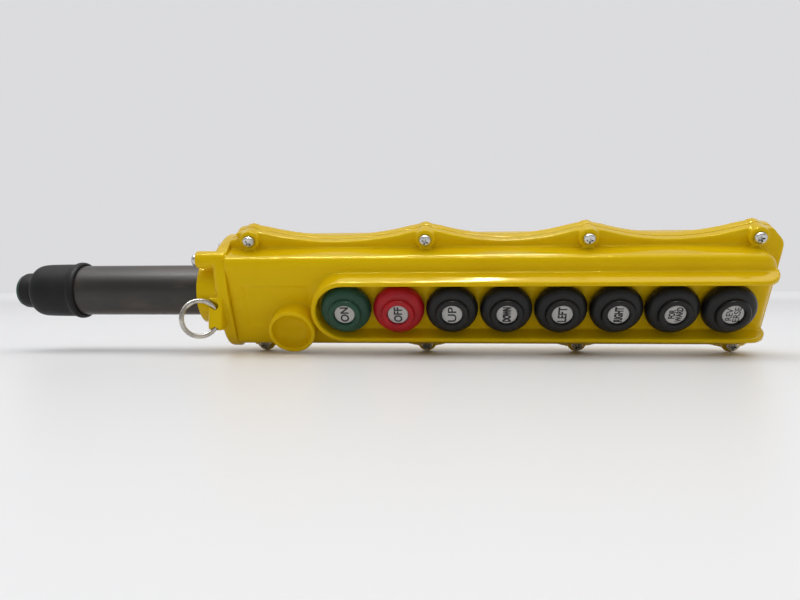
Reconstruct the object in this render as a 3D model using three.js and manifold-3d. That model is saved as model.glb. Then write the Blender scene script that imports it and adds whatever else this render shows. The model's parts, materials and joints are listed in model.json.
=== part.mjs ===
// Pendant control station: a hand-held crane controller with eight booted pushbuttons.
//
// Everything is drawn flat first, in millimetres: X runs along the station from the cable end to the
// far end, Y runs into it from the buttons' side, and Z runs across it. X = 0 and Z = 0 are the first
// button's centre, and Y = 0 is the widest plane of the rubber boots. The last lines tip the station
// forward, as it lies on a table on its four lower flange lobes and the rim of its accessory cup.

import * as THREE from 'three';
import { mergeVertices } from 'three/addons/utils/BufferGeometryUtils.js';
import Module from 'manifold-3d';

const wasm = await Module();
wasm.setup();

// Driving dimensions.
const GAP = 0.3;                  // clearance between pieces that touch
const LEAN = 29.2;                // degrees the station tips forward on the table

const BUTTON_PITCH = 30;
const BUTTON_NAMES = ['on', 'off', 'up', 'down', 'left', 'right', 'forward', 'reverse'];
const BUTTON_HOLE_R = 7;

const FACE_Y = 5;                 // the front cover's face
const WALL = 3;
const BODY_LEFT = -68.6;
const BODY_RIGHT = 233.7;
const BODY_HALF_WIDTH = 29;
const END_WALL = 8;               // thickness of the wall that the end cap bolts to
const FLANGE_Y = 20;              // front of the cover's flange
const SEAM_Y = 25;                // back of the cover's flange
const GASKET = 0.8;
const HOUSING_Y = SEAM_Y + GAP;
const HOUSING_FLANGE = 5.7;
const HOUSING_BACK_Y = 54;
const HOUSING_TAPER = 5;          // how much narrower the housing's back is on each side

const LOBES_X = [-55.4, 45, 135, 225];
const SCREW_Z = 34.7;
const BOSS_Y = 17;
const LOBE_R = 5.1;
const VALLEY_Z = 32.5;
const SHOULDER_Z = 36.4;
const FLANGE_RIGHT = 241;

const GUARD_TOP_Y = -5.4;
const GUARD_INNER_R = 16.6;
const GUARD_OUTER_R = 19.4;
const CUP_X = -32;
const CUP_Z = -13.9;
const CUP_OUTER_R = 13.4;
const CUP_INNER_R = 11.2;
const CUP_FLOOR_Y = 3.6;

const TUBE_Y = 22.6;              // axis of the cable sleeve
const SLEEVE_R = 15;
const SLEEVE_BORE_R = 10.5;
const CAP_PLATE_RIGHT = BODY_LEFT - GAP;
const CAP_PLATE_LEFT = -76;
const HUB_LEFT = -87.5;
const HUB_R = 19.6;
const FRONT_BOSS_LEFT = -86;
const BACK_BOSS_LEFT = -82;
const SLEEVE_LEFT = -178;
const NECK_LEFT = -202;           // end of the sleeve boot's neck
const END_SCREWS = [                                     // Y, Z and boss end of each end-cap screw
  [12.6, 25.4, FRONT_BOSS_LEFT],
  [45, 17.5, BACK_BOSS_LEFT],
  [45, -17.5, BACK_BOSS_LEFT],
];

const RING_X = -75.1;             // where the split ring passes through its lug
const RING_Y = -1.2;
const RING_Z = -5.5;
const RING_R = 10.2;              // radius of the ring's centre line
const RING_WIRE_R = 1.35;
const RING_TURN = 32;             // degrees the ring stands off the station's length, at rest
const RING_SWING = 45;            // degrees it can swing on from there

// Colours and finishes.
const yellow = () => new THREE.MeshStandardMaterial({ color: 0xc9a20c, roughness: 0.28, metalness: 0 });
const rubber = (color) => new THREE.MeshStandardMaterial({ color, roughness: 0.55, metalness: 0 });
const plastic = (color) => new THREE.MeshStandardMaterial({ color, roughness: 0.4, metalness: 0 });
const steel = () => new THREE.MeshStandardMaterial({ color: 0xc8c8c8, roughness: 0.3, metalness: 1 });
const CAP_COLOURS = { on: 0x23492f, off: 0x9a1620 };
const BLACK = 0x171716;

// Solids. A closed geometry becomes a body whose faces all point out.
function solid(geometry) {
  const plain = geometry.index ? geometry.toNonIndexed() : geometry.clone();
  plain.deleteAttribute('normal');
  plain.deleteAttribute('uv');
  const merged = mergeVertices(plain, 1e-4);
  const points = new Float32Array(merged.attributes.position.array);
  const corner = (i) => new THREE.Vector3().fromArray(points, 3 * i);
  const triangles = [];
  let volume = 0;
  for (let i = 0; i < merged.index.count; i += 3) {
    const [a, b, c] = [0, 1, 2].map((k) => merged.index.getX(i + k));
    if (a !== b && b !== c && c !== a) {
      triangles.push([a, b, c]);
      volume += corner(a).dot(corner(b).cross(corner(c)));
    }
  }
  const outward = volume > 0 ? triangles : triangles.map(([a, b, c]) => [a, c, b]);
  return new wasm.Manifold(new wasm.Mesh({
    numProp: 3,
    vertProperties: points,
    triVerts: new Uint32Array(outward.flat()),
  }));
}

function geometryOf(body) {
  const mesh = body.getMesh();
  const geometry = new THREE.BufferGeometry();
  geometry.setAttribute('position', new THREE.BufferAttribute(new Float32Array(mesh.vertProperties), 3));
  geometry.setIndex(new THREE.BufferAttribute(new Uint32Array(mesh.triVerts), 1));
  return geometry;
}

const join = (bodies) => bodies.reduce((whole, body) => whole.add(body));
const cut = (body, tools) => tools.reduce((rest, tool) => rest.subtract(tool), body);

const AXIS_X = new THREE.Vector3(1, 0, 0);
const AXIS_Y = new THREE.Vector3(0, 1, 0);
const AXIS_Z = new THREE.Vector3(0, 0, 1);
const ALONG_X = new THREE.Matrix4().makeBasis(AXIS_Y, AXIS_Z, AXIS_X);

function box(x0, x1, y0, y1, z0, z1) {
  const geometry = new THREE.BoxGeometry(x1 - x0, y1 - y0, z1 - z0);
  geometry.translate((x0 + x1) / 2, (y0 + y1) / 2, (z0 + z1) / 2);
  return solid(geometry);
}

// A plate drawn in X and Z, from y0 to y1. edge rounds its front outline.
function plate(points, y0, y1, edge = 0) {
  const shape = new THREE.Shape(points.map(([x, z]) => new THREE.Vector2(x, z)));
  const geometry = new THREE.ExtrudeGeometry(shape, {
    depth: y1 - y0 - edge,
    steps: 1,
    bevelEnabled: edge > 0,
    bevelThickness: edge,
    bevelSize: edge,
    bevelOffset: -edge,
    bevelSegments: 3,
  });
  geometry.applyMatrix4(new THREE.Matrix4().makeBasis(AXIS_X, AXIS_Z, AXIS_Y.clone().negate()));
  geometry.translate(0, y1, 0);
  if (edge === 0) {
    return solid(geometry);
  }
  const far = 1000;
  return solid(geometry).intersect(box(-far, far, y0 - far, y1, -far, far));
}

// A plate drawn in Y and Z, from x0 to x1.
function endPlate(points, x0, x1) {
  const shape = new THREE.Shape(points.map(([y, z]) => new THREE.Vector2(y, z)));
  const geometry = new THREE.ExtrudeGeometry(shape, { depth: x1 - x0, steps: 1, bevelEnabled: false });
  geometry.applyMatrix4(ALONG_X);
  geometry.translate(x0, 0, 0);
  return solid(geometry);
}

// Turned pieces: the profile gives radius and height along the axis.
function turned(profile, axis, sides, x = 0, y = 0, z = 0) {
  const geometry = new THREE.LatheGeometry(profile.map(([r, h]) => new THREE.Vector2(r, h)), sides);
  if (axis === 'x') {
    geometry.applyMatrix4(new THREE.Matrix4().makeRotationZ(-Math.PI / 2));
  }
  geometry.translate(x, y, z);
  return solid(geometry);
}

const discY = (x, z, radius, y0, y1, sides = 24) =>
  turned([[0, y0], [radius, y0], [radius, y1], [0, y1]], 'y', sides, x, 0, z);
const discX = (y, z, radius, x0, x1, sides = 24) =>
  turned([[0, x0], [radius, x0], [radius, x1], [0, x1]], 'x', sides, 0, y, z);

// Points round an arc, by centre, radius and start and end angle in degrees.
function arc(cx, cz, radius, from, to, steps) {
  const points = [];
  for (let i = 0; i <= steps; i += 1) {
    const angle = THREE.MathUtils.degToRad(from + (to - from) * i / steps);
    points.push([cx + radius * Math.cos(angle), cz + radius * Math.sin(angle)]);
  }
  return points;
}

function roundedBox(x0, x1, z0, z1, radius, steps = 4) {
  return [
    ...arc(x1 - radius, z0 + radius, radius, -90, 0, steps),
    ...arc(x1 - radius, z1 - radius, radius, 0, 90, steps),
    ...arc(x0 + radius, z1 - radius, radius, 90, 180, steps),
    ...arc(x0 + radius, z0 + radius, radius, 180, 270, steps),
  ];
}

// The flange's upper edge from right to left: a small bump at each screw and a long shallow scallop
// between bumps, for the fingers.
function lobedEdge() {
  const lobeHalf = 7.2;
  const points = [];
  const lobes = [...LOBES_X].reverse();
  lobes.forEach((x, i) => {
    points.push([x + lobeHalf, SHOULDER_Z]);
    points.push(...arc(x, SCREW_Z, LOBE_R, 50, 130, 4));
    points.push([x - lobeHalf, SHOULDER_Z]);
    if (i < lobes.length - 1) {
      const right = x - lobeHalf;
      const left = lobes[i + 1] + lobeHalf;
      const half = (right - left) / 2;
      for (let k = 1; k < 8; k += 1) {
        const t = 1 - k / 4;
        const z = VALLEY_Z + (SHOULDER_Z - VALLEY_Z) * t * t;
        points.push([(left + right) / 2 + half * t, z]);
      }
    }
  });
  return points;
}

function flangeOutline() {
  const corner = [[FLANGE_RIGHT, 24], ...arc(FLANGE_RIGHT - 10, 26, 10, 15, 50, 3)];
  const upper = [...corner, ...lobedEdge(), [-64, 34], [BODY_LEFT, 33]];
  const lower = upper.map(([x, z]) => [x, -z]).reverse();
  return [...lower, ...upper];
}

// The cover's box runs square into the end cap and has round corners at its far end.
const bodyOutline = () => {
  const round = 9;
  const z = BODY_HALF_WIDTH;
  return [
    [BODY_LEFT - 10, -z],
    ...arc(BODY_RIGHT - round, round - z, round, -90, 0, 4),
    ...arc(BODY_RIGHT - round, z - round, round, 0, 90, 4),
    [BODY_LEFT - 10, z],
  ];
};

// Front cover: a shallow box with a lobed flange, the raised guard round the buttons, and the cup.
function guardRim() {
  const outline = (radius) => [
    ...arc(0, 0, radius, 90, 270, 16),
    [BODY_RIGHT + 1, -radius],
    [BODY_RIGHT + 1, radius],
  ];
  const wall = plate(outline(GUARD_OUTER_R), GUARD_TOP_Y, FACE_Y + 1)
    .subtract(plate(outline(GUARD_INNER_R), GUARD_TOP_Y - 1, FACE_Y + 2));
  // Both rails drop to the face in a quarter curve at the open end.
  const endRun = 12;
  const height = FACE_Y - GUARD_TOP_Y;
  const side = [[-GUARD_OUTER_R - 1, FACE_Y + 1], [BODY_RIGHT, FACE_Y + 1]];
  for (let i = 0; i <= 5; i += 1) {
    const angle = THREE.MathUtils.degToRad(90 * i / 5);
    side.push([BODY_RIGHT - endRun + endRun * Math.cos(angle), FACE_Y - height * Math.sin(angle)]);
  }
  side.push([-GUARD_OUTER_R - 1, GUARD_TOP_Y]);
  const shape = new THREE.Shape(side.map(([x, y]) => new THREE.Vector2(x, y)));
  const depth = 2 * GUARD_OUTER_R + 2;
  const geometry = new THREE.ExtrudeGeometry(shape, { depth, steps: 1, bevelEnabled: false });
  geometry.translate(0, 0, -depth / 2);
  return wall.intersect(solid(geometry));
}

function frontCover() {
  const cup = discY(CUP_X, CUP_Z, CUP_OUTER_R, GUARD_TOP_Y, FACE_Y + 2, 28);
  const bosses = LOBES_X.flatMap((x) => [1, -1].map((side) => discY(x, side * SCREW_Z, LOBE_R, BOSS_Y, SEAM_Y, 16)));
  const outside = join([
    plate(bodyOutline(), FACE_Y, SEAM_Y, 5).intersect(box(BODY_LEFT, 300, 0, 60, -60, 60)),
    plate(flangeOutline(), FLANGE_Y, SEAM_Y),
    guardRim(),
    cup,
    ...bosses,
  ]);
  const cavity = plate(
    roundedBox(BODY_LEFT + END_WALL, BODY_RIGHT - WALL, WALL - BODY_HALF_WIDTH, BODY_HALF_WIDTH - WALL, 5),
    FACE_Y + WALL, SEAM_Y + 1, 2);
  const cupPocket = discY(CUP_X, CUP_Z, CUP_INNER_R, GUARD_TOP_Y - 1, CUP_FLOOR_Y, 28);
  const buttonHoles = BUTTON_NAMES.map((name, i) =>
    discY(i * BUTTON_PITCH, 0, BUTTON_HOLE_R, FACE_Y - 1, FACE_Y + WALL + 1, 18));
  const screwHoles = LOBES_X.flatMap((x) => [1, -1].map((side) =>
    discY(x, side * SCREW_Z, 2.3, BOSS_Y - 1, SEAM_Y + 1, 8)));
  const endHoles = END_SCREWS.slice(0, 1).map(([y, z]) => discX(y, z, 2.3, BODY_LEFT - 1, BODY_LEFT + 7, 12));
  return cut(outside, [
    cavity,
    cupPocket,
    ...buttonHoles,
    ...screwHoles,
    discX(TUBE_Y, 0, 12, BODY_LEFT - 1, BODY_LEFT + END_WALL + 1),
    ...endHoles,
  ]);
}

// Rear housing: the deeper shell behind the seam, narrower at its back.
function housingShell(left, right, half, y0, y1) {
  const shape = new THREE.Shape(roundedBox(left, right, -half, half, 7).map(([x, z]) => new THREE.Vector2(x, z)));
  const geometry = new THREE.ExtrudeGeometry(shape, { depth: y1 - y0, steps: 1, bevelEnabled: false });
  const narrow = 1 - HOUSING_TAPER / BODY_HALF_WIDTH;
  const place = geometry.attributes.position;
  for (let i = 0; i < place.count; i += 1) {
    const back = place.getZ(i) > (y1 - y0) / 2;
    const x = place.getX(i);
    const pulled = back && x > (left + right) / 2 ? x - HOUSING_TAPER : x;
    place.setXYZ(i, pulled, back ? y1 : y0, place.getY(i) * (back ? narrow : 1));
  }
  return solid(geometry);
}

function rearHousing() {
  const floor = HOUSING_BACK_Y - WALL;
  const outside = join([
    housingShell(BODY_LEFT, BODY_RIGHT, BODY_HALF_WIDTH, HOUSING_Y, HOUSING_BACK_Y),
    plate(flangeOutline(), HOUSING_Y, HOUSING_Y + HOUSING_FLANGE),
  ]);
  const cavity = housingShell(BODY_LEFT + END_WALL, BODY_RIGHT - WALL, BODY_HALF_WIDTH - WALL, HOUSING_Y - 1, floor);
  const screwHoles = LOBES_X.flatMap((x) => [1, -1].map((side) =>
    discY(x, side * SCREW_Z, 2.3, HOUSING_Y - 1, HOUSING_Y + HOUSING_FLANGE + 1, 8)));
  const endHoles = END_SCREWS.slice(1).map(([y, z]) => discX(y, z, 2.3, BODY_LEFT - 1, BODY_LEFT + 7, 12));
  return cut(outside, [
    cavity,
    seamBand(GAP),
    ...screwHoles,
    ...endHoles,
    discX(TUBE_Y, 0, 12, BODY_LEFT - 1, BODY_LEFT + END_WALL + 1),
  ]);
}

// Gaskets: one in a rebate round the seam, one behind the end cap. grow gives the room each is cut.
function seamBand(grow = 0) {
  const out = 2 - grow;
  const into = WALL - 0.4 + grow;
  const half = BODY_HALF_WIDTH;
  const outer = roundedBox(BODY_LEFT + out, BODY_RIGHT - out + 1, out - 1 - half, half + 1 - out, 7);
  const inner = roundedBox(BODY_LEFT + END_WALL - 1 + grow, BODY_RIGHT - into, into - half, half - into, 5);
  return cut(plate(outer, HOUSING_Y - grow, HOUSING_Y + GASKET + grow), [plate(inner, 0, 60)]);
}

function coverGasket() {
  return seamBand().subtract(discX(TUBE_Y, 0, 12.5, BODY_LEFT - 1, BODY_LEFT + END_WALL));
}

function endGasket(grow = 0) {
  const x0 = CAP_PLATE_RIGHT - GASKET;
  const outline = roundedBox(9 - grow, HOUSING_BACK_Y - 3 + grow, -21 - grow, 21 + grow, 7);
  return endPlate(outline, x0 - grow, CAP_PLATE_RIGHT + (grow > 0 ? 1 : 0));
}

function endGasketSheet() {
  const holes = END_SCREWS.slice(1).map(([y, z]) => discX(y, z, 2.4, BODY_LEFT - 5, BODY_LEFT, 12));
  return cut(endGasket(), [discX(TUBE_Y, 0, 18, BODY_LEFT - 5, BODY_LEFT, 32), ...holes]);
}

// Outline of the end cap's plate, in Y and Z: a rounded oblong, blunter at the back.
function endCapOutline() {
  const centreY = 23;
  const centreZ = -1.5;
  const frontReach = 19;
  const backReach = 30;
  const halfHeight = 33;
  const power = 2 / 3;
  const outline = [];
  for (let i = 0; i < 40; i += 1) {
    const angle = 2 * Math.PI * i / 40;
    const c = Math.cos(angle);
    const s = Math.sin(angle);
    const reach = c < 0 ? frontReach : backReach;
    outline.push([
      centreY + Math.sign(c) * reach * Math.abs(c) ** power,
      centreZ + Math.sign(s) * halfHeight * Math.abs(s) ** power,
    ]);
  }
  return outline;
}

function splitRing(wire = RING_WIRE_R) {
  const geometry = new THREE.TorusGeometry(RING_R, wire, 6, 28);
  geometry.rotateX(Math.PI / 2);
  geometry.translate(-RING_R, 0, 0);
  return geometry;
}

// The lug stands along the table's vertical, and its eye is the path that the ring swings through.
function ringLug() {
  const toLug = new THREE.Matrix4().makeRotationX(THREE.MathUtils.degToRad(-LEAN));
  toLug.setPosition(RING_X, RING_Y, RING_Z);
  const block = new THREE.BoxGeometry(8.4, 9.4, 19.4);
  block.translate(-0.6, 0.9, 2.6);
  block.applyMatrix4(toLug);
  const paths = [-5, 12, 29, RING_SWING + 2].map((swing) => {
    const path = splitRing(RING_WIRE_R + 0.6);
    path.rotateZ(THREE.MathUtils.degToRad(RING_TURN + swing));
    path.applyMatrix4(toLug);
    return solid(path);
  });
  return cut(solid(block), paths);
}

// End cap: the plate, the hub that grips the cable sleeve, a boss for each screw, and the ring's lug.
function endCap() {
  const body = join([
    endPlate(endCapOutline(), CAP_PLATE_LEFT, CAP_PLATE_RIGHT),
    discX(TUBE_Y, 0, HUB_R, HUB_LEFT, CAP_PLATE_RIGHT - 1, 32),
    ...END_SCREWS.map(([y, z, left]) => discX(y, z, 5, left, CAP_PLATE_RIGHT - 1, 20)),
    ringLug(),
  ]);
  const screwHoles = END_SCREWS.map(([y, z]) => discX(y, z, 2.3, HUB_LEFT - 1, CAP_PLATE_RIGHT + 1, 12));
  return cut(body, [
    discX(TUBE_Y, 0, SLEEVE_R + GAP, HUB_LEFT - 1, CAP_PLATE_RIGHT + 1, 32),
    discX(TUBE_Y, 0, SLEEVE_R + 2 + GAP, CAP_PLATE_RIGHT - 3.2, CAP_PLATE_RIGHT + 1, 32),
    endGasket(GAP),
    ...screwHoles,
  ]);
}

// Cable entry: the long sleeve with its collar, the rubber boot on its free end, and a bush in the
// boot's neck.
function cableSleeve() {
  const right = CAP_PLATE_RIGHT - 0.4;
  return turned([
    [SLEEVE_BORE_R, SLEEVE_LEFT],
    [SLEEVE_R, SLEEVE_LEFT],
    [SLEEVE_R, right - 2.4],
    [SLEEVE_R + 2, right - 2.4],
    [SLEEVE_R + 2, right],
    [SLEEVE_BORE_R, right],
    [SLEEVE_BORE_R, SLEEVE_LEFT],
  ], 'x', 24, 0, TUBE_Y, 0);
}

function sleeveBoot() {
  const inner = SLEEVE_R + GAP;
  return turned([
    [8.3, NECK_LEFT],
    [10.5, NECK_LEFT],
    [10.5, -196],
    [9.9, -194.6],
    [13.8, -193.4],
    [15.3, -190.6],
    [15.8, -186.5],
    [16, -170],
    [17, -168],
    [17, -164.8],
    [inner, -164.3],
    [inner, SLEEVE_LEFT - 1.5],
    [8.3, SLEEVE_LEFT - 3.5],
    [8.3, NECK_LEFT],
  ], 'x', 24, 0, TUBE_Y, 0);
}

function cableBush() {
  return turned([
    [6.5, NECK_LEFT - 2.2],
    [9.4, NECK_LEFT - 2.2],
    [9.4, NECK_LEFT - GAP],
    [8, NECK_LEFT - GAP],
    [8, NECK_LEFT + 12],
    [6.5, NECK_LEFT + 12],
    [6.5, NECK_LEFT - 2.2],
  ], 'x', 16, 0, TUBE_Y, 0);
}

// Pan-head screw along +Y. The head's seat is at y = 0.
function screwY(length) {
  return turned([[0, -2.5], [2, -2.4], [3.5, -0.9], [3.5, 0], [2, 0], [2, length], [0, length]], 'y', 12);
}

// Booted pushbutton: a soft skirt, the cap with its plunger, the legend disc and the return spring.
function bootSkirt() {
  return turned([
    [7.6, FACE_Y - GAP],
    [13.1, FACE_Y - GAP],
    [14.5, 1.2],
    [13.9, -2.4],
    [11.7, -4.5],
    [9.7, -5.2],
    [9.7, -3.6],
    [12.2, -1.4],
    [12.3, 3.1],
    [7.6, 3.1],
    [7.6, FACE_Y - GAP],
  ], 'y', 16);
}

const LEGEND_Y = -6.2;
const LEGEND_R = 5.7;
const PLUNGER_Y = 13;
const PIN_Y = 17.5;
const BLOCK_Y = 23;

function buttonCap() {
  return turned([
    [0, LEGEND_Y + 1],
    [LEGEND_R + GAP, LEGEND_Y + 1],
    [LEGEND_R + 0.7, -7.7],
    [8.4, -7.9],
    [9.2, -7],
    [9.2, -3.4],
    [6.6, -2],
    [6.6, FACE_Y + WALL + 0.4],
    [7.5, FACE_Y + WALL + 0.6],
    [6, PLUNGER_Y],
    [2.3, PLUNGER_Y],
    [2.3, PIN_Y],
    [0, PIN_Y],
  ], 'y', 16);
}

function legendDisc() {
  return turned([[0, LEGEND_Y], [LEGEND_R, LEGEND_Y], [LEGEND_R, LEGEND_Y + 0.7], [0, LEGEND_Y + 0.7]], 'y', 16);
}

class Helix extends THREE.Curve {
  constructor(radius, y0, y1, turns) {
    super();
    Object.assign(this, { radius, y0, y1, turns });
  }

  getPoint(t, target = new THREE.Vector3()) {
    const angle = 2 * Math.PI * this.turns * t;
    const y = this.y0 + (this.y1 - this.y0) * t;
    return target.set(this.radius * Math.cos(angle), y, this.radius * Math.sin(angle));
  }
}

function returnSpring() {
  const wire = 0.45;
  const turns = 3;
  const section = new THREE.Shape(arc(0, 0, wire, 0, 270, 3).map(([a, b]) => new THREE.Vector2(a, b)));
  const path = new Helix(4.1, PLUNGER_Y + GAP + 2 * wire, BLOCK_Y - GAP - 2 * wire, turns);
  return solid(new THREE.ExtrudeGeometry(section, { steps: 8 * turns, bevelEnabled: false, extrudePath: path }));
}

// Contact block for two buttons, with a well for each plunger's pin and a stepped terminal shelf.
function contactBlock(x) {
  const half = 26;
  const body = join([
    box(x - half, x + half, BLOCK_Y, 44, -10, 10),
    box(x - half, x + half, 32, HOUSING_BACK_Y - WALL - GAP, -16, 16),
  ]);
  const wells = [-BUTTON_PITCH / 2, BUTTON_PITCH / 2].map((dx) => discY(x + dx, 0, 3, BLOCK_Y - 1, BLOCK_Y + 8, 12));
  const slots = [-18, -6, 6, 18].flatMap((dx) => [-1, 1].map((side) =>
    box(x + dx - 2.5, x + dx + 2.5, 30, 37, side * 13 - 2, side * 13 + 2)));
  return cut(body, [...wells, ...slots]);
}

function cableClamp() {
  const bar = box(-52, -42, 31, 38, -17, 17);
  const foot = [-1, 1].map((side) => box(-52, -42, 34, HOUSING_BACK_Y - WALL - GAP, side * 14 - 3, side * 14 + 3));
  const screwHoles = [-1, 1].map((side) => discY(-47, side * 14, 2.3, 20, 60, 12));
  return cut(join([bar, ...foot]), [discX(24, 0, 10, -60, -30), ...screwHoles]);
}

// Assembly.
const flat = new THREE.Group();

function add(parent, name, body, material, x = 0, y = 0, z = 0) {
  const mesh = new THREE.Mesh(geometryOf(body), material);
  mesh.name = name;
  mesh.position.set(x, y, z);
  parent.add(mesh);
  return mesh;
}

add(flat, 'front_cover', frontCover(), yellow());
add(flat, 'rear_housing', rearHousing(), yellow());
add(flat, 'cover_gasket', coverGasket(), rubber(0x202020));
add(flat, 'end_gasket', endGasketSheet(), rubber(0x202020));
add(flat, 'end_cap', endCap(), yellow());
add(flat, 'cable_sleeve', cableSleeve(), rubber(0x3c3732));
add(flat, 'sleeve_boot', sleeveBoot(), rubber(0x2a2a2a));
add(flat, 'cable_bush', cableBush(), rubber(0x1d3a2e));
add(flat, 'cable_clamp', cableClamp(), plastic(0x303030));

const coverScrew = screwY(14);
LOBES_X.forEach((x, i) => {
  for (const [side, z] of [['upper', SCREW_Z], ['lower', -SCREW_Z]]) {
    add(flat, `cover_screw_${side}_${i + 1}`, coverScrew, steel(), x, BOSS_Y - GAP, z);
  }
});

END_SCREWS.forEach(([y, z, left], i) => {
  const head = left - GAP;
  const screw = add(flat, `end_screw_${i + 1}`, screwY(BODY_LEFT + 6 - head), steel(), head, y, z);
  screw.rotation.z = -Math.PI / 2;
});

const clampScrew = screwY(12);
[-1, 1].forEach((side, i) => add(flat, `clamp_screw_${i + 1}`, clampScrew, steel(), -47, 31 - GAP, side * 14));

for (let pair = 0; pair < BUTTON_NAMES.length / 2; pair += 1) {
  const x = (2 * pair + 0.5) * BUTTON_PITCH;
  add(flat, `contact_block_${pair + 1}`, contactBlock(x), plastic(0x2b2b2b));
}

const skirt = bootSkirt();
const cap = buttonCap();
const disc = legendDisc();
const spring = returnSpring();
BUTTON_NAMES.forEach((name, i) => {
  const button = new THREE.Group();
  button.position.x = i * BUTTON_PITCH;
  const colour = CAP_COLOURS[name] ?? BLACK;
  add(button, `boot_${name}`, skirt, rubber(colour));
  add(button, `button_${name}`, cap, plastic(colour));
  add(button, `legend_${name}`, disc, plastic(0xc4c2be));
  add(button, `spring_${name}`, spring, steel());
  flat.add(button);
});

// The ring hangs in a vertical plane, turned a little towards the buttons' side.
const ringPivot = new THREE.Group();
ringPivot.position.set(RING_X, RING_Y, RING_Z);
ringPivot.rotation.x = THREE.MathUtils.degToRad(-LEAN);
const ringSwing = new THREE.Group();
ringSwing.rotation.z = THREE.MathUtils.degToRad(RING_TURN);
add(ringSwing, 'split_ring', solid(splitRing()), steel());
ringPivot.add(ringSwing);
flat.add(ringPivot);

// Tip the station forward and stand it on its lowest points, with the origin under its middle.
const station = new THREE.Group();
flat.rotation.x = THREE.MathUtils.degToRad(LEAN);
station.add(flat);
station.updateMatrixWorld(true);
const bounds = new THREE.Box3().setFromObject(station, true);
const middle = bounds.getCenter(new THREE.Vector3());
flat.position.set(-middle.x, -middle.y, -bounds.min.z);

export default station;
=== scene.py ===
"""Pendant control station: the finished look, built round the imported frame.

Pieces are modelled lying flat, in the station's own axes: X runs along it from the cable end, Y runs
into it from the buttons' side, Z runs across it, and the origin is the first button's centre in the
boots' widest plane. Each finished piece is then tipped into the row frame, as the station lies.
"""

import json
import math

import bpy
from mathutils import Matrix, Vector


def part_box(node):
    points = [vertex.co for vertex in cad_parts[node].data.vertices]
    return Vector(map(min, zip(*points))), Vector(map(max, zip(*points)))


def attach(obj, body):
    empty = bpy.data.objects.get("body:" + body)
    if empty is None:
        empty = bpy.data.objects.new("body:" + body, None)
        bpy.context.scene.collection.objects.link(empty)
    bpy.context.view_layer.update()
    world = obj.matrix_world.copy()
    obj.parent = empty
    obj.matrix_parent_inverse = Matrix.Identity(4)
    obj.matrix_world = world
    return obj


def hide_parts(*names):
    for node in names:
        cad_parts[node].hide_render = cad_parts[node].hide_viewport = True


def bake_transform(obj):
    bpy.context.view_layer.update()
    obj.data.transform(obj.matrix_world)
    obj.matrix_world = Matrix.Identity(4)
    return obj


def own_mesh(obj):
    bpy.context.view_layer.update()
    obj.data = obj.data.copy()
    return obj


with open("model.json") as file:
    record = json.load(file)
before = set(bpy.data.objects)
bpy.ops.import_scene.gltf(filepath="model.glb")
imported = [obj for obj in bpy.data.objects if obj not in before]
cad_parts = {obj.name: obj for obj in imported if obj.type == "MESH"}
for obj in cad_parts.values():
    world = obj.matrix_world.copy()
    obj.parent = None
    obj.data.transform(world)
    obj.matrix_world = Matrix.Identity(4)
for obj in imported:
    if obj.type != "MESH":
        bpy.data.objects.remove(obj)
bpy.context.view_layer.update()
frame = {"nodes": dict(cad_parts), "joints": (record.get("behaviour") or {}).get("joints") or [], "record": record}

bl_info = {
    "name": "Pendant Control Station",
    "version": (1, 0, 0),
    "blender": (4, 5, 0),
    "location": "View3D > Sidebar > Station",
    "description": "Builds the shells, booted buttons, cable entry and stage of a pendant station",
    "category": "Add Mesh",
}

MM = 0.001
BUTTONS = ("on", "off", "up", "down", "left", "right", "forward", "reverse")
LEGENDS = {"forward": ("FOR", "WARD"), "reverse": ("REV", "ERSE")}
ROOT = "station"
CENTRE = (0, 0, 0)
OVER = 1 * MM  # how far a cutting tool stands past what it cuts


# ---------------- places from the frame

LEGEND_MIDDLE = -5.85 * MM  # the legend discs' middle plane, in front of the boots' widest plane


def joint(name):
    return next(each for each in frame["joints"] if each["name"] == name)


def box_middle(node):
    low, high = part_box(node)
    return (Vector(low) + Vector(high)) / 2


PRESS = Vector(joint("on_press")["axis"]).normalized()
LEAN = Matrix.Rotation(math.atan2(PRESS.z, PRESS.y), 4, "X")
TO_ROW = Matrix.Translation(box_middle("legend_on") - LEAN @ Vector((0, LEGEND_MIDDLE, 0))) @ LEAN
TO_FLAT = TO_ROW.inverted()


def flat_box(node):
    """A CAD node's lowest and highest corner in the station's own axes."""
    points = [TO_FLAT @ vertex.co for vertex in frame["nodes"][node].data.vertices]
    low = Vector([min(point[i] for point in points) for i in range(3)])
    high = Vector([max(point[i] for point in points) for i in range(3)])
    return low, high


def flat_middle(node):
    low, high = flat_box(node)
    return (low + high) / 2


COVER_LOW, COVER_HIGH = flat_box("front_cover")
HOUSING_LOW, HOUSING_HIGH = flat_box("rear_housing")
CAP_LOW, CAP_HIGH = flat_box("end_cap")
SLEEVE_LOW, SLEEVE_HIGH = flat_box("cable_sleeve")
BOOT_LOW, BOOT_HIGH = flat_box("sleeve_boot")
TUBE_Y = flat_middle("sleeve_boot").y
TUBE = (0, TUBE_Y, 0)  # on the cable tube's axis, which runs along X
LOBES_X = [flat_middle(f"cover_screw_upper_{i}").x for i in (1, 2, 3, 4)]
SCREW_Z = flat_middle("cover_screw_upper_1").z
BUTTONS_X = [flat_middle(f"legend_{name}").x for name in BUTTONS]
END_SCREWS = [flat_middle(f"end_screw_{i}") for i in (1, 2, 3)]


# ---------------- properties


def length(label, about, millimetres):
    return bpy.props.FloatProperty(name=label, description=about, default=millimetres * MM,
                                   unit="LENGTH", precision=5)


def colour(label, about, red, green, blue):
    return bpy.props.FloatVectorProperty(name=label, description=about, default=(red, green, blue),
                                         subtype="COLOR", size=3, min=0, max=1)


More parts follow.
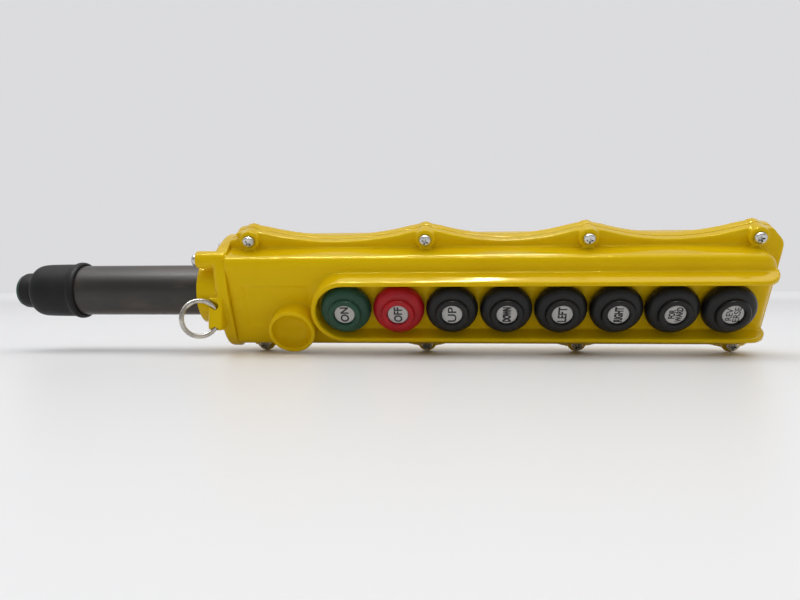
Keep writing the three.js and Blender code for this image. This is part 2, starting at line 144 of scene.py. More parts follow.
class StationSizes(bpy.types.PropertyGroup):
    wall: length("Wall", "Thickness of the moulded shells", 3)
    body_half: length("Body half width", "Half the width of the cover's box", 29)
    face: length("Face", "Depth of the cover's face behind the boots' widest plane", 5)
    face_round: length("Face rounding", "Radius along the cover's front edges", 5)
    flange_front: length("Flange front", "Depth of the lobed flange's front face", 20)
    seam: length("Seam", "Depth of the cover's back edge", 25)
    lobe: length("Lobe radius", "Radius of each screw lobe", 5.62)
    valley: length("Valley", "Half width at the bottom of each finger scallop", 32.5)
    shoulder: length("Shoulder", "Half width where a scallop meets a lobe", 38)
    guard_inner: length("Guard inside", "Radius of the guard rim's round end, inside", 16.6)
    guard_outer: length("Guard outside", "Radius of the guard rim's round end, outside", 19.4)
    cup_outer: length("Cup outside", "Outer radius of the accessory cup", 13.55)
    cup_inner: length("Cup inside", "Inner radius of the accessory cup", 11.2)
    voxel: length("Fillet grid", "Grid on which the shells' edges are rounded", 0.62)


class StationColours(bpy.types.PropertyGroup):
    yellow: colour("Shell", "Moulded yellow shells", 0.735, 0.49, 0.003)
    yellow_deep: colour("Shell, thin", "Yellow where the colour lies thinner", 0.69, 0.44, 0.002)
    green: colour("ON rubber", "Rubber of the ON button", 0.015, 0.062, 0.036)
    red: colour("OFF rubber", "Rubber of the OFF button", 0.36, 0.005, 0.011)
    black: colour("Black rubber", "Rubber of the other buttons", 0.009, 0.009, 0.009)
    sleeve: colour("Sleeve", "Cable sleeve", 0.019, 0.0175, 0.014)
    boot: colour("Sleeve boot", "Rubber boot on the sleeve's free end", 0.009, 0.009, 0.0095)
    bush: colour("Bush", "Green bush in the boot's neck", 0.012, 0.045, 0.034)
    legend: colour("Legend plate", "Printed discs", 0.50, 0.49, 0.475)
    ink: colour("Ink", "Printed words", 0.012, 0.012, 0.014)
    nickel: colour("Nickel", "Split ring", 0.60, 0.57, 0.51)
    zinc: colour("Zinc", "Screws", 0.62, 0.62, 0.60)
    plastic: colour("Inner plastic", "Contact blocks and clamp", 0.02, 0.02, 0.02)


class StationStage(bpy.types.PropertyGroup):
    lens: bpy.props.FloatProperty(name="Lens", description="Camera's focal length in millimetres",
                                  default=29.215)
    camera_place: bpy.props.FloatVectorProperty(
        name="Camera place", description="Where the camera stands", subtype="TRANSLATION",
        unit="LENGTH", default=(0.03994, -0.38761, 0.03653))
    camera_turn: bpy.props.FloatVectorProperty(
        name="Camera turn", description="How the camera is turned", subtype="EULER",
        default=tuple(math.radians(angle) for angle in (89.2114, 0.1345, 4.3190)))
    floor: colour("Floor", "The table's surface", 0.87, 0.87, 0.87)
    air: colour("Air", "The room beyond the table", 0.715, 0.715, 0.73)


# ---------------- modelling by operators


def deselect():
    bpy.ops.object.select_all(action="DESELECT")


def pick(piece):
    deselect()
    piece.select_set(True)
    bpy.context.view_layer.objects.active = piece


def edit(piece, *steps):
    """Runs edit-mode steps with everything in the piece selected first."""
    pick(piece)
    bpy.ops.object.mode_set(mode="EDIT")
    bpy.ops.mesh.select_all(action="SELECT")
    for step in steps:
        step()
    bpy.ops.object.mode_set(mode="OBJECT")


def outward():
    bpy.ops.mesh.select_all(action="SELECT")
    bpy.ops.mesh.normals_make_consistent(inside=False)


def closed_line(points, fill_type="NOTHING"):
    """A closed line with its corners at the points, or a face inside it."""
    deselect()
    bpy.ops.mesh.primitive_circle_add(vertices=len(points), fill_type=fill_type)
    piece = bpy.context.object
    for vertex, point in zip(piece.data.vertices, points):
        vertex.co = point
    return piece


def extruded(points, step):
    """A solid: the outline's face extruded by a step."""
    piece = closed_line(points, "NGON")
    edit(
        piece,
        lambda: bpy.ops.mesh.extrude_region_move(TRANSFORM_OT_translate={"value": tuple(step)}),
        outward,
    )
    return piece


def plate(outline, y0, y1):
    """A plate drawn in X and Z, from y0 to y1."""
    return extruded([(x, y0, z) for x, z in outline], (0, y1 - y0, 0))


def end_plate(outline, x0, x1):
    """A plate drawn in Y and Z, from x0 to x1."""
    return extruded([(x0, y, z) for y, z in outline], (x1 - x0, 0, 0))


def block(x0, x1, y0, y1, z0, z1):
    return plate([(x0, z0), (x1, z0), (x1, z1), (x0, z1)], y0, y1)


def spun(profile, place, axis, steps=64):
    """A turned solid. The closed profile gives radius and height along the axis ("X" or "Y")."""
    place = Vector(place)
    along_x = axis == "X"
    line = (1, 0, 0) if along_x else (0, 1, 0)
    piece = closed_line([place + Vector((height, 0, radius) if along_x else (0, height, radius))
                         for radius, height in profile])
    edit(
        piece,
        lambda: bpy.ops.mesh.spin(steps=steps, angle=2 * math.pi, center=place, axis=line),
        lambda: bpy.ops.mesh.select_all(action="SELECT"),
        lambda: bpy.ops.mesh.remove_doubles(threshold=0.002 * MM),
        lambda: bpy.ops.mesh.delete_loose(),
        outward,
    )
    return piece


def mm(pairs, start=0.0):
    """Pairs given in millimetres, the second of each counted from a start."""
    return [(first * MM, start + second * MM) for first, second in pairs]


def rod(place, radius, start, end, axis="Y", steps=48):
    """A plain round tool for joins and cuts."""
    return spun([(0, start), (radius, start), (radius, end), (0, end)], place, axis, steps)


def joined(pieces):
    deselect()
    for piece in pieces:
        piece.select_set(True)
    bpy.context.view_layer.objects.active = pieces[0]
    bpy.ops.object.join()
    return pieces[0]


def apply_modifier(piece, kind, **settings):
    pick(piece)
    modifier = piece.modifiers.new(kind.title(), kind)
    for name, value in settings.items():
        setattr(modifier, name, value)
    bpy.ops.object.modifier_apply(modifier=modifier.name)


def soften(piece, grid, rounds, triangles):
    """Fuses overlapping solids into one skin with rounded edges and fillets."""
    apply_modifier(piece, "REMESH", mode="VOXEL", voxel_size=grid, adaptivity=0)
    apply_modifier(piece, "SMOOTH", factor=0.5, iterations=rounds)
    have = sum(len(face.vertices) - 2 for face in piece.data.polygons)
    if have > triangles:
        apply_modifier(piece, "DECIMATE", decimate_type="COLLAPSE", ratio=triangles / have)


def smooth_shade(piece, angle=40):
    pick(piece)
    bpy.ops.object.shade_smooth_by_angle(angle=math.radians(angle))


def arc(centre, radius, start, end, steps):
    points = []
    for i in range(steps + 1):
        angle = math.radians(start + (end - start) * i / steps)
        points.append((centre[0] + radius * math.cos(angle), centre[1] + radius * math.sin(angle)))
    return points


def rounded_box(x0, x1, z0, z1, radius, steps=8):
    return [
        *arc((x1 - radius, z0 + radius), radius, -90, 0, steps),
        *arc((x1 - radius, z1 - radius), radius, 0, 90, steps),
        *arc((x0 + radius, z1 - radius), radius, 90, 180, steps),
        *arc((x0 + radius, z0 + radius), radius, 180, 270, steps),
    ]


def curved(points, steps=6):
    """A smooth line through the points, ends included."""
    line = [Vector(point) for point in points]
    padded = [2 * line[0] - line[1], *line, 2 * line[-1] - line[-2]]
    smooth = []
    for a, b, c, d in zip(padded, padded[1:], padded[2:], padded[3:]):
        for i in range(steps):
            t = i / steps
            smooth.append(0.5 * (2 * b + (c - a) * t + (2 * a - 5 * b + 4 * c - d) * t * t
                                 + (3 * b - a - 3 * c + d) * t ** 3))
    smooth.append(line[-1])
    return [tuple(point) for point in smooth]


def settle(piece, place):
    """Puts a piece in its place, and the place in its mesh."""
    piece.matrix_world = place
    pick(piece)
    bpy.ops.object.transform_apply(location=True, rotation=True, scale=True)


def finish_piece(piece, name, body, slot, material, replaces=()):
    """Tips a piece into the row frame, names it, gives it its finish and hangs it on its body."""
    settle(piece, TO_ROW @ piece.matrix_world)
    piece.name = name
    piece.data.name = name
    piece.data.materials.clear()
    piece.data.materials.append(material)
    if body:
        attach(piece, body)
    if replaces:
        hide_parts(*replaces)
    return piece


def copy_of(piece, offset):
    twin = piece.copy()
    twin.data = piece.data.copy()
    bpy.context.collection.objects.link(twin)
    twin.matrix_world = Matrix.Translation(offset) @ piece.matrix_world
    return twin


def per_button(pattern):
    """A copy of the pattern for each button, with the button's name and its place along X."""
    for name, x in zip(BUTTONS, BUTTONS_X):
        yield name, x, copy_of(pattern, (x, 0, 0))
    bpy.data.objects.remove(pattern)


def reshape(piece, rule):
    for vertex in piece.data.vertices:
        vertex.co = rule(vertex.co)


def choose(piece, kind, chosen):
    """Opens edit mode with the corners or edges selected whose ends are all in chosen places."""
    pick(piece)
    bpy.ops.object.mode_set(mode="EDIT")
    bpy.ops.mesh.select_mode(type=kind)
    bpy.ops.mesh.select_all(action="DESELECT")
    bpy.ops.object.mode_set(mode="OBJECT")
    points = piece.data.vertices
    for part in points if kind == "VERT" else piece.data.edges:
        ends = [part.index] if kind == "VERT" else part.vertices
        part.select = all(chosen(points[i].co) for i in ends)
    bpy.ops.object.mode_set(mode="EDIT")


def round_edges(piece, radius, chosen, segments=4):
    """Bevels every edge whose two ends are both chosen by their place."""
    choose(piece, "EDGE", chosen)
    bpy.ops.mesh.bevel(offset=radius, segments=segments, affect="EDGES", clamp_overlap=False)
    bpy.ops.object.mode_set(mode="OBJECT")


def sliced(piece, place, normal):
    """Keeps what lies ahead of a plane and closes the cut."""
    edit(piece, lambda: bpy.ops.mesh.bisect(plane_co=place, plane_no=normal, use_fill=True,
                                            clear_inner=True))


def carve(pieces, tools):
    """Cuts every tool out of every piece, then clears the tools away."""
    for piece in pieces:
        for tool in tools:
            apply_modifier(piece, "BOOLEAN", object=tool, operation="DIFFERENCE", solver="EXACT")
    for tool in tools:
        bpy.data.objects.remove(tool)


def coiled(section, axis, turns, steps, rise=0.0):
    """A wire: its closed section wound round an axis, with open ends."""
    wire = closed_line(section)
    apply_modifier(wire, "SCREW", axis=axis, angle=2 * math.pi * turns, steps=steps, render_steps=steps,
                   screw_offset=rise, use_merge_vertices=False, use_smooth_shade=True)
    return wire


def cap_ends():
    bpy.ops.mesh.fill_holes(sides=0)


# ---------------- finishes


class Value:
    """A number in a shader. Arithmetic on it adds Math nodes."""

    def __init__(self, finish, socket):
        self.finish = finish
        self.socket = socket

    def math(self, operation, first, second):
        return self.finish.node("ShaderNodeMath", {"operation": operation}, {0: first, 1: second})

    def __add__(self, other):
        return self.math("ADD", self, other)

    def __mul__(self, other):
        return self.math("MULTIPLY", self, other)

    __radd__ = __add__
    __rmul__ = __mul__


class Finish:
    """A procedural material on object coordinates."""

    def __init__(self, name):
        self.material = bpy.data.materials.new(name)
        self.material.use_nodes = True
        self.tree = self.material.node_tree
        self.surface = self.tree.nodes["Principled BSDF"]
        self.place = self.node("ShaderNodeTexCoord", {}, {}, "Object")

    def node(self, kind, settings, inputs, output=0):
        """Adds any node: its settings first, then its inputs, by name or number."""
        node = self.tree.nodes.new(kind)
        for name, value in settings.items():
            setattr(node, name, value)
        for name, value in inputs.items():
            self.feed(node.inputs[name], value)
        return Value(self, node.outputs[output])

    def feed(self, socket, value):
        if isinstance(value, Value):
            self.tree.links.new(value.socket, socket)
        else:
            socket.default_value = value

    def put(self, name, value):
        self.feed(self.surface.inputs[name], value)

    def stretched(self, x, y, z):
        """Object coordinates, scaled so that a pattern runs long in one direction."""
        return self.node("ShaderNodeMapping", {"vector_type": "POINT"},
                         {"Vector": self.place, "Scale": (x, y, z)})

    def noise(self, scale, detail, place=None):
        return self.node("ShaderNodeTexNoise", {"noise_dimensions": "3D"},
                         {"Vector": place or self.place, "Scale": scale, "Detail": detail})

    def step(self, value, low, high):
        """0 below low, 1 above high, and a smooth rise between."""
        return self.node("ShaderNodeMapRange", {"interpolation_type": "SMOOTHSTEP"},
                         {"Value": value, "From Min": low, "From Max": high})

    def patches(self, scale, detail, low, high, *stretch):
        """Noise cut into soft-edged patches, long in one direction where a stretch is given."""
        place = self.stretched(*stretch) if stretch else None
        return self.step(self.noise(scale, detail, place), low, high)

    def mix(self, share, first, second):
        colours = [each if isinstance(each, Value) else (*each, 1.0) for each in (first, second)]
        return self.node("ShaderNodeMix", {"data_type": "RGBA"},
                         {0: share, 6: colours[0], 7: colours[1]}, 2)

    def paint(self, share, first, second, roughness):
        """The surface's colour, from the first to the second by a share, and its roughness."""
        self.put("Base Color", self.mix(share, first, second))
        self.put("Roughness", roughness)

    def relief(self, height, depth, strength):
        self.put("Normal", self.node("ShaderNodeBump", {},
                                     {"Height": height, "Distance": depth, "Strength": strength}))


def shade(colour, factor):
    return tuple(min(1.0, channel * factor) for channel in colour)


def colours():
    return bpy.context.scene.station_colours


def once(maker):
    """A material is made the first time that a piece asks for it."""
    made = {}

    def ask(*wanted):
        if wanted not in made:
            made[wanted] = maker(*wanted).material
        return made[wanted]

    return ask


@once
def moulded_yellow():
    """Glossy moulded shell: slow drift of colour, orange peel, hairline rubbing and a little dust."""
    finish = Finish("moulded_yellow")
    drift = finish.patches(14, 3, 0.35, 0.7)
    rubbed = finish.patches(60, 4, 0.52, 0.75, 0.12, 1, 1)
    dust = finish.patches(420, 3, 0.66, 0.8)
    tone = finish.mix(drift, colours().yellow, colours().yellow_deep)
    finish.paint(dust * 0.03, tone, (0.6, 0.5, 0.3), 0.09 + rubbed * 0.06 + dust * 0.1)
    finish.put("IOR", 1.52)
    finish.put("Specular Tint", (1.0, 0.82, 0.08, 1.0))
    finish.relief(finish.noise(420, 2), 0.00005, 0.25)
    return finish


@once
def button_rubber(hue):
    """Satin rubber with fine pores, paler where it is handled, and dust in its pores."""
    finish = Finish(f"{hue}_rubber")
    base = getattr(colours(), hue)
    pores = finish.noise(2600, 2)
    handled = finish.patches(90, 3, 0.4, 0.75)
    dust = finish.patches(700, 4, 0.62, 0.78)
    tone = finish.mix(handled, base, shade(base, 1.35))
    finish.paint(dust * 0.05, tone, (0.3, 0.3, 0.28), 0.3 + handled * 0.08 + dust * 0.15)
    finish.put("Specular IOR Level", 0.3)
    finish.relief(pores, 0.00004, 0.6)
    return finish


@once
def sleeve_tube():
    """Extruded sleeve: faint lengthwise draw lines and brown, rubbed patches."""
    finish = Finish("sleeve_tube")
    lines = finish.noise(700, 2, finish.stretched(0.02, 1, 1))
    patches = finish.patches(45, 4, 0.42, 0.68, 0.35, 1, 1)
    scuffs = finish.patches(260, 4, 0.6, 0.75, 0.3, 1, 1)
    tone = finish.mix(patches, colours().sleeve, (0.058, 0.042, 0.032))
    finish.paint(scuffs * 0.12, tone, (0.13, 0.115, 0.1), 0.34 + patches * 0.08 + scuffs * 0.12)
    finish.relief(lines, 0.00006, 0.5)
    return finish


@once
def boot_rubber():
    """Matt black rubber with a powdery bloom and moulding pores."""
    finish = Finish("boot_rubber")
    bloom = finish.patches(55, 4, 0.42, 0.72)
    pores = finish.noise(1900, 3)
    finish.paint(bloom * 0.5, colours().boot, (0.02, 0.02, 0.021), 0.48 + bloom * 0.12)
    finish.put("Specular IOR Level", 0.22)
    finish.relief(pores, 0.00005, 0.6)
    return finish


@once
def bush_rubber():
    finish = Finish("bush_rubber")
    cloud = finish.noise(300, 3)
    finish.paint(cloud, colours().bush, shade(colours().bush, 1.7), 0.34 + cloud * 0.14)
    finish.relief(finish.noise(1500, 2), 0.00004, 0.5)
    return finish


@once
def gasket_sheet():
    finish = Finish("gasket_sheet")
    grain = finish.noise(1800, 3)
    finish.paint(grain, (0.014, 0.014, 0.014), (0.03, 0.03, 0.03), 0.62 + grain * 0.14)
    finish.relief(grain, 0.00006, 0.6)
    return finish


@once
def inner_plastic():
    """Moulded black thermoset with a fine spark-eroded texture."""
    finish = Finish("inner_plastic")
    texture = finish.noise(2200, 3)
    finish.paint(texture, colours().plastic, shade(colours().plastic, 1.6), 0.42 + texture * 0.16)
    finish.relief(texture, 0.00004, 0.6)
    return finish


@once
def printed_plate():
    """Off-white engraving plate: even and slightly soiled."""
    finish = Finish("printed_plate")
    soil = finish.patches(380, 4, 0.5, 0.75)
    finish.paint(soil * 0.3, colours().legend, (0.36, 0.34, 0.31), 0.38 + soil * 0.2)
    finish.relief(finish.noise(1600, 2), 0.00002, 0.5)
    return finish


@once
def ink():
    finish = Finish("ink")
    wear = finish.patches(900, 4, 0.6, 0.8)
    finish.paint(wear * 0.2, colours().ink, (0.2, 0.2, 0.19), 0.45 + wear * 0.2)
    return finish


@once
def bright_metal(kind):
    """Plated steel: polishing lines, slight tarnish and uneven gloss."""
    finish = Finish(f"{kind}_plate")
    base = getattr(colours(), kind)
    tarnish = finish.patches(240, 4, 0.45, 0.75)
    lines = finish.noise(1500, 3, finish.stretched(1, 0.2, 1))
    finish.paint(tarnish, base, shade(base, 0.62), 0.16 + tarnish * 0.16 + lines * 0.06)
    finish.put("Metallic", 1.0)
    finish.relief(lines, 0.00002, 0.4)
    return finish


@once
def table_top():
    """Smooth pale table with a soft sheen. Far away it has a painted glow (emission), so that it melts into the
    room.
    """
    finish = Finish("table_top")
    cloud = finish.noise(5, 3)
    floor = bpy.context.scene.station_stage.floor
    finish.paint(cloud, floor, shade(floor, 0.97), 0.32 + cloud * 0.1)
    # painted light: from 0.7 m out the table glows by emission, reaching its full painted glow at 4.5 m, so the
    # far table looks brighter
    away = finish.node("ShaderNodeVectorMath", {"operation": "LENGTH"}, {0: finish.place}, 1)
    far = finish.step(away, 0.7, 4.5)
    black, painted_far_glow = (0, 0, 0), (0.2, 0.2, 0.205)
    finish.put("Emission Color", finish.mix(far, black, painted_far_glow))
    finish.put("Emission Strength", 1.0)
    return finish


# ---------------- the shells

END_WALL = 8 * MM
BUMP_HALF = 8.4 * MM
SCREW_WAY = 2.3 * MM


def lobe_rods(radius, y0, y1, steps=48):
    """A round tool along each of the flange's screws."""
    return [rod((x, 0, z), radius, y0, y1, steps=steps) for x in LOBES_X for z in (SCREW_Z, -SCREW_Z)]


def end_screw_way(middle, x0, x1):
    return rod((0, middle.y, middle.z), SCREW_WAY, x0, x1, "X", 24)


def cable_way(left):
    """The cable's hole through a shell's end wall."""
    return rod(TUBE, 12 * MM, left - OVER, left + END_WALL + OVER, "X")


def moulding(solids, grid, rounds, triangles, name, node):
    """Makes one yellow moulding of overlapping solids. Flat faces keep their normal beside a fillet."""
    piece = joined(solids)
    soften(piece, grid, rounds, triangles)
    pick(piece)
    bpy.ops.object.shade_smooth()
    apply_modifier(piece, "WEIGHTED_NORMAL", mode="FACE_AREA", weight=60, keep_sharp=True)
    finish_piece(piece, name, ROOT, "yellow_shell", moulded_yellow(), [node])


def scalloped_edge(size):
    """The flange's upper edge from right to left: a bump at each screw, a finger scallop between."""
    points = []
    lobes = LOBES_X[::-1]
    for i, x in enumerate(lobes):
        points.append((x + BUMP_HALF, size.shoulder))
        points += arc((x, SCREW_Z), size.lobe, 50, 130, 12)
        points.append((x - BUMP_HALF, size.shoulder))
        if i + 1 < len(lobes):
            right = x - BUMP_HALF
            left = lobes[i + 1] + BUMP_HALF
            for k in range(1, 24):
                t = 1 - k / 12
                z = size.valley + (size.shoulder - size.valley) * t * t
                points.append(((left + right) / 2 + (right - left) / 2 * t, z))
    return points


def flange_outline(size):
    right = COVER_HIGH.x
    left = COVER_LOW.x
    corner = 10 * MM
    upper = [
        (right, 24 * MM),
        *arc((right - corner, 26 * MM), corner, 15, 50, 6),
        *scalloped_edge(size),
        (-63 * MM, 34.5 * MM),
        (left + 1.5 * MM, 34 * MM),
        (left, 32.5 * MM),
    ]
    return [(x, -z) for x, z in reversed(upper)] + upper


def body_right(size):
    """Where the cover's box ends, inside the flange's far end."""
    return COVER_HIGH.x - 7.3 * MM


def cover_box(size):
    """The cover's box, square at the cable end and rounded at the other, with its front edge rounded."""
    half = size.body_half
    far = body_right(size)
    corner = 9 * MM
    outline = [
        (COVER_LOW.x - 10 * MM, -half),
        *arc((far - corner, corner - half), corner, -90, 0, 12),
        *arc((far - corner, half - corner), corner, 0, 90, 12),
        (COVER_LOW.x - 10 * MM, half),
    ]
    piece = plate(outline, size.face, size.seam)
    front = size.face + 0.1 * MM
    round_edges(piece, size.face_round, lambda point: point.y < front, 10)
    sliced(piece, (COVER_LOW.x, 0, 0), (1, 0, 0))
    return piece


def guard_wall(size):
    """The raised rim round the buttons: spun round the first one, then drawn straight to the far end."""
    low = size.guard_inner
    high = size.guard_outer
    top = COVER_LOW.y
    section = [
        (low - 0.5 * MM, size.face + 0.8 * MM),
        (low, top + 0.9 * MM),
        (low + 0.3 * MM, top + 0.25 * MM),
        (low + 0.9 * MM, top),
        (high - 0.9 * MM, top),
        (high - 0.3 * MM, top + 0.25 * MM),
        (high, top + 0.9 * MM),
        (high + 1.3 * MM, size.face - 1.2 * MM),
        (high + 2.4 * MM, size.face + 0.8 * MM),
    ]
    far = body_right(size)
    wall = closed_line([(0, y, -radius) for radius, y in section])
    edit(wall, lambda: bpy.ops.mesh.spin(steps=48, angle=-math.pi, center=CENTRE, axis=(0, 1, 0)))
    choose(wall, "VERT", lambda point: point.x > -0.001 * MM)
    bpy.ops.mesh.extrude_region_move(TRANSFORM_OT_translate={"value": (far, 0, 0)})
    bpy.ops.mesh.select_all(action="SELECT")
    cap_ends()
    outward()
    bpy.ops.object.mode_set(mode="OBJECT")
    run = 12 * MM
    height = size.face - top
    curve = [(far - run + run * math.cos(a), size.face - height * math.sin(a))
             for a in [math.radians(90 * i / 12) for i in range(13)]]
    above = top - 4 * MM
    beyond = far + 3 * MM
    reach = 30 * MM
    outline = [*curve, (far - run, above), (beyond, above), (beyond, size.face)]
    end_cut = extruded([(x, y, -reach) for x, y in outline], (0, 0, 2 * reach))
    carve([wall], [end_cut])
    return wall


def cup(size):
    """The open cup beside the first button, and the thick base that it stands on."""
    top = COVER_LOW.y
    floor = size.face - 1.4 * MM
    deep = 7 * MM
    bowl = [(size.cup_inner * math.sin(a), floor - deep * (1 - math.cos(a)))
            for a in [math.radians(7.5 * i) for i in range(12)]]
    return spun([
        *bowl,
        (size.cup_inner, top + 0.8 * MM),
        (size.cup_inner + 0.5 * MM, top),
        (size.cup_outer - 0.5 * MM, top),
        (size.cup_outer, top + 0.8 * MM),
        (size.cup_outer + 0.3 * MM, size.face + 1.5 * MM),
        (0, size.face + 1.5 * MM),
    ], flat_cup(), "Y", 96)


def flat_cup():
    """The cup's axis, from the opening that the record states for it."""
    openings = frame["record"]["physics"]["openings"]
    low, high = next(each["box_m"] for each in openings if each["name"] == "accessory_cup")
    middle = TO_FLAT @ ((Vector(low) + Vector(high)) / 2)
    return Vector((middle.x, 0, middle.z))


class STATION_OT_front_cover(bpy.types.Operator):
    """Front cover: box, scalloped flange, screw bosses, guard rim, cup and label recess"""

    bl_idname = "station.front_cover"
    bl_label = "Front cover"

    def execute(self, context):
        size = context.scene.station_sizes
        boss_front = size.flange_front - 3 * MM
        far = body_right(size)
        box = cover_box(size)
        flange = plate(flange_outline(size), size.flange_front, size.seam)
        bosses = lobe_rods(size.lobe, boss_front, size.seam)
        left = COVER_LOW.x
        inside = size.body_half - size.wall
        behind_face = size.face + size.wall
        cavity = plate(rounded_box(left + END_WALL, far - size.wall, -inside, inside, 5 * MM),
                       behind_face, size.seam + OVER)
        round_edges(cavity, 2 * MM, lambda point: point.y < behind_face + 0.1 * MM)
        screw_ways = lobe_rods(SCREW_WAY, boss_front - OVER, size.seam + OVER, 24)
        button_ways = [rod((x, 0, 0), 7 * MM, size.face - OVER, behind_face + OVER)
                       for x in BUTTONS_X]
        end_way = end_screw_way(END_SCREWS[0], left - OVER, left + 7 * MM)
        label_depth = 0.7 * MM
        label = block(-60.4 * MM, -22 * MM, size.face - OVER, size.face + label_depth,
                      -14.2 * MM, 12 * MM)
        carve([flange, *bosses], screw_ways)
        carve([box], [*button_ways, end_way, label])
        carve([box, flange], [cavity, cable_way(left)])
        moulding([box, flange, *bosses, guard_wall(size), cup(size)], size.voxel, 7, 170000,
                 "cover_shell", "front_cover")
        return {"FINISHED"}


def tapered(piece, y0, y1, middle, pull):
    """Draws a plate's back in: narrower across, and shorter at the far end."""
    share = 1 - pull / bpy.context.scene.station_sizes.body_half

    def rule(point):
        back = (point.y - y0) / (y1 - y0)
        x = point.x - pull * back if point.x > middle else point.x
        return Vector((x, point.y, point.z * (1 - back + back * share)))

    reshape(piece, rule)
    return piece


class STATION_OT_rear_housing(bpy.types.Operator):
    """Rear housing: the deep shell behind the seam, with its own scalloped flange"""

    bl_idname = "station.rear_housing"
    bl_label = "Rear housing"

    def execute(self, context):
        size = context.scene.station_sizes
        front = size.seam
        back = HOUSING_HIGH.y
        left = HOUSING_LOW.x
        far = body_right(size)
        middle = (left + far) / 2  # what lies past it is drawn in
        pull = 5 * MM
        half = size.body_half
        inside = half - size.wall
        flange_back = front + 6 * MM
        shell = tapered(plate(rounded_box(left, far, -half, half, 7 * MM), front, back),
                        front, back, middle, pull)
        round_edges(shell, 4 * MM, lambda point: point.y > back - 0.1 * MM, 6)
        flange = plate(flange_outline(size), front, flange_back)
        cavity = tapered(
            plate(rounded_box(left + END_WALL, far - size.wall, -inside, inside, 7 * MM),
                  front - OVER, back - size.wall),
            front - OVER, back - size.wall, middle, pull)
        carve([flange], lobe_rods(SCREW_WAY, front - OVER, flange_back + OVER, 24))
        carve([shell], [end_screw_way(each, left - OVER, left + 7 * MM) for each in END_SCREWS[1:]])
        carve([shell, flange], [cavity, cable_way(left), seam_groove(size, left, far, front)])
        moulding([shell, flange], size.voxel, 6, 120000, "housing_shell", "rear_housing")
        return {"FINISHED"}


def seam_groove(size, left, far, front):
    """The rebate that holds the seam's gasket."""
    half = size.body_half
    out = 1.7 * MM
    into = size.wall - 0.1 * MM
    reach = half + OVER - out
    outer = plate(rounded_box(left + out, far - out + OVER, -reach, reach, 7 * MM),
                  front - 0.5 * MM, front + 1.1 * MM)
    inner = plate(rounded_box(left + 7.3 * MM, far - into, into - half, half - into, 5 * MM),
                  front - OVER, front + 2 * OVER)
    carve([outer], [inner])
    return outer


# ---------------- the cable end

RING_PIVOT = TO_FLAT @ Vector(joint("ring_swing")["pos_m"])
UPRIGHT = Matrix.Translation(RING_PIVOT) @ LEAN.inverted()
RING_RADIUS = 10.2 * MM
RING_WIRE = 1.35 * MM
RING_TURN = 32  # degrees


def ring_way():
    """The space that the split ring's wire sweeps as it swings, as one tool."""
    clearance = 0.5 * MM
    paths = []
    for swing in range(-5, 50, 3):
        deselect()
        bpy.ops.mesh.primitive_torus_add(major_radius=RING_RADIUS, minor_radius=RING_WIRE + clearance,
                                         major_segments=64, minor_segments=16)
        paths.append(bpy.context.object)
        settle(paths[-1], ring_place(swing))
    way = joined(paths)
    apply_modifier(way, "REMESH", mode="VOXEL", voxel_size=0.3 * MM, adaptivity=0)
    return way


def ring_place(swing):
    """Where the ring lies: upright, hung by its edge, and turned about the world's vertical."""
    turn = Matrix.Rotation(math.radians(RING_TURN + swing), 4, "Z")
    stood = Matrix.Rotation(math.pi / 2, 4, "X")
    return UPRIGHT @ turn @ Matrix.Translation((-RING_RADIUS, 0, 0)) @ stood


def cap_outline(steps=96):
    """The end cap's plate in Y and Z: a rounded oblong, deeper behind than in front."""
    power = 2 / 3
    centre_y = 23 * MM
    centre_z = (CAP_LOW.z + CAP_HIGH.z) / 2
    half = (CAP_HIGH.z - CAP_LOW.z) / 2
    points = []
    for i in range(steps):
        angle = 2 * math.pi * i / steps
        c, s = math.cos(angle), math.sin(angle)
        reach = 21 * MM if c < 0 else 30 * MM
        points.append((centre_y + math.copysign(reach * abs(c) ** power, c),
                       centre_z + math.copysign(half * abs(s) ** power, s)))
    return points


class STATION_OT_end_cap(bpy.types.Operator):
    """End cap: bolted plate, hub round the sleeve, screw bosses and the split ring's lug"""

    bl_idname = "station.end_cap"
    bl_label = "End cap"

    def execute(self, context):
        right = COVER_LOW.x + 0.6 * MM
        left = -76 * MM
        root = right - 1.2 * MM
        cap = end_plate(cap_outline(), left, right)
        round_edges(cap, 3.6 * MM, lambda point: point.x < left + 0.1 * MM, 8)
        hub = rod(TUBE, 19.6 * MM, CAP_LOW.x, root, "X", 96)
        round_edges(hub, 1.2 * MM, lambda point: point.x < CAP_LOW.x + 0.1 * MM, 3)
        bosses = []
        for middle in END_SCREWS:
            reach = -86 * MM if middle.y < TUBE_Y else -82 * MM
            bosses.append(rod((0, middle.y, middle.z), 5 * MM, reach, root, "X"))
        lug = block(-4.8 * MM, 3.6 * MM, -3.8 * MM, 5.6 * MM, -7.1 * MM, 12.3 * MM)
        round_edges(lug, 1.6 * MM, lambda point: True, 4)
        reshape(lug, lambda point: UPRIGHT @ point)
        past = right + OVER
        bore = rod(TUBE, 15.25 * MM, CAP_LOW.x - OVER, past, "X", 96)
        collar = rod(TUBE, 17.3 * MM, right - 3.2 * MM, past, "X", 96)
        seat = end_plate(rounded_box(8.7 * MM, 51.3 * MM, -21.3 * MM, 21.3 * MM, 7 * MM),
                         right - 1.1 * MM, past)
        screw_ways = [end_screw_way(each, CAP_LOW.x - OVER, past) for each in END_SCREWS]
        carve([cap, hub, *bosses], [bore, collar, seat, *screw_ways])
        carve([lug], [ring_way()])
        moulding([cap, hub, *bosses, lug], 0.42 * MM, 7, 120000, "cap_shell", "end_cap")
        return {"FINISHED"}


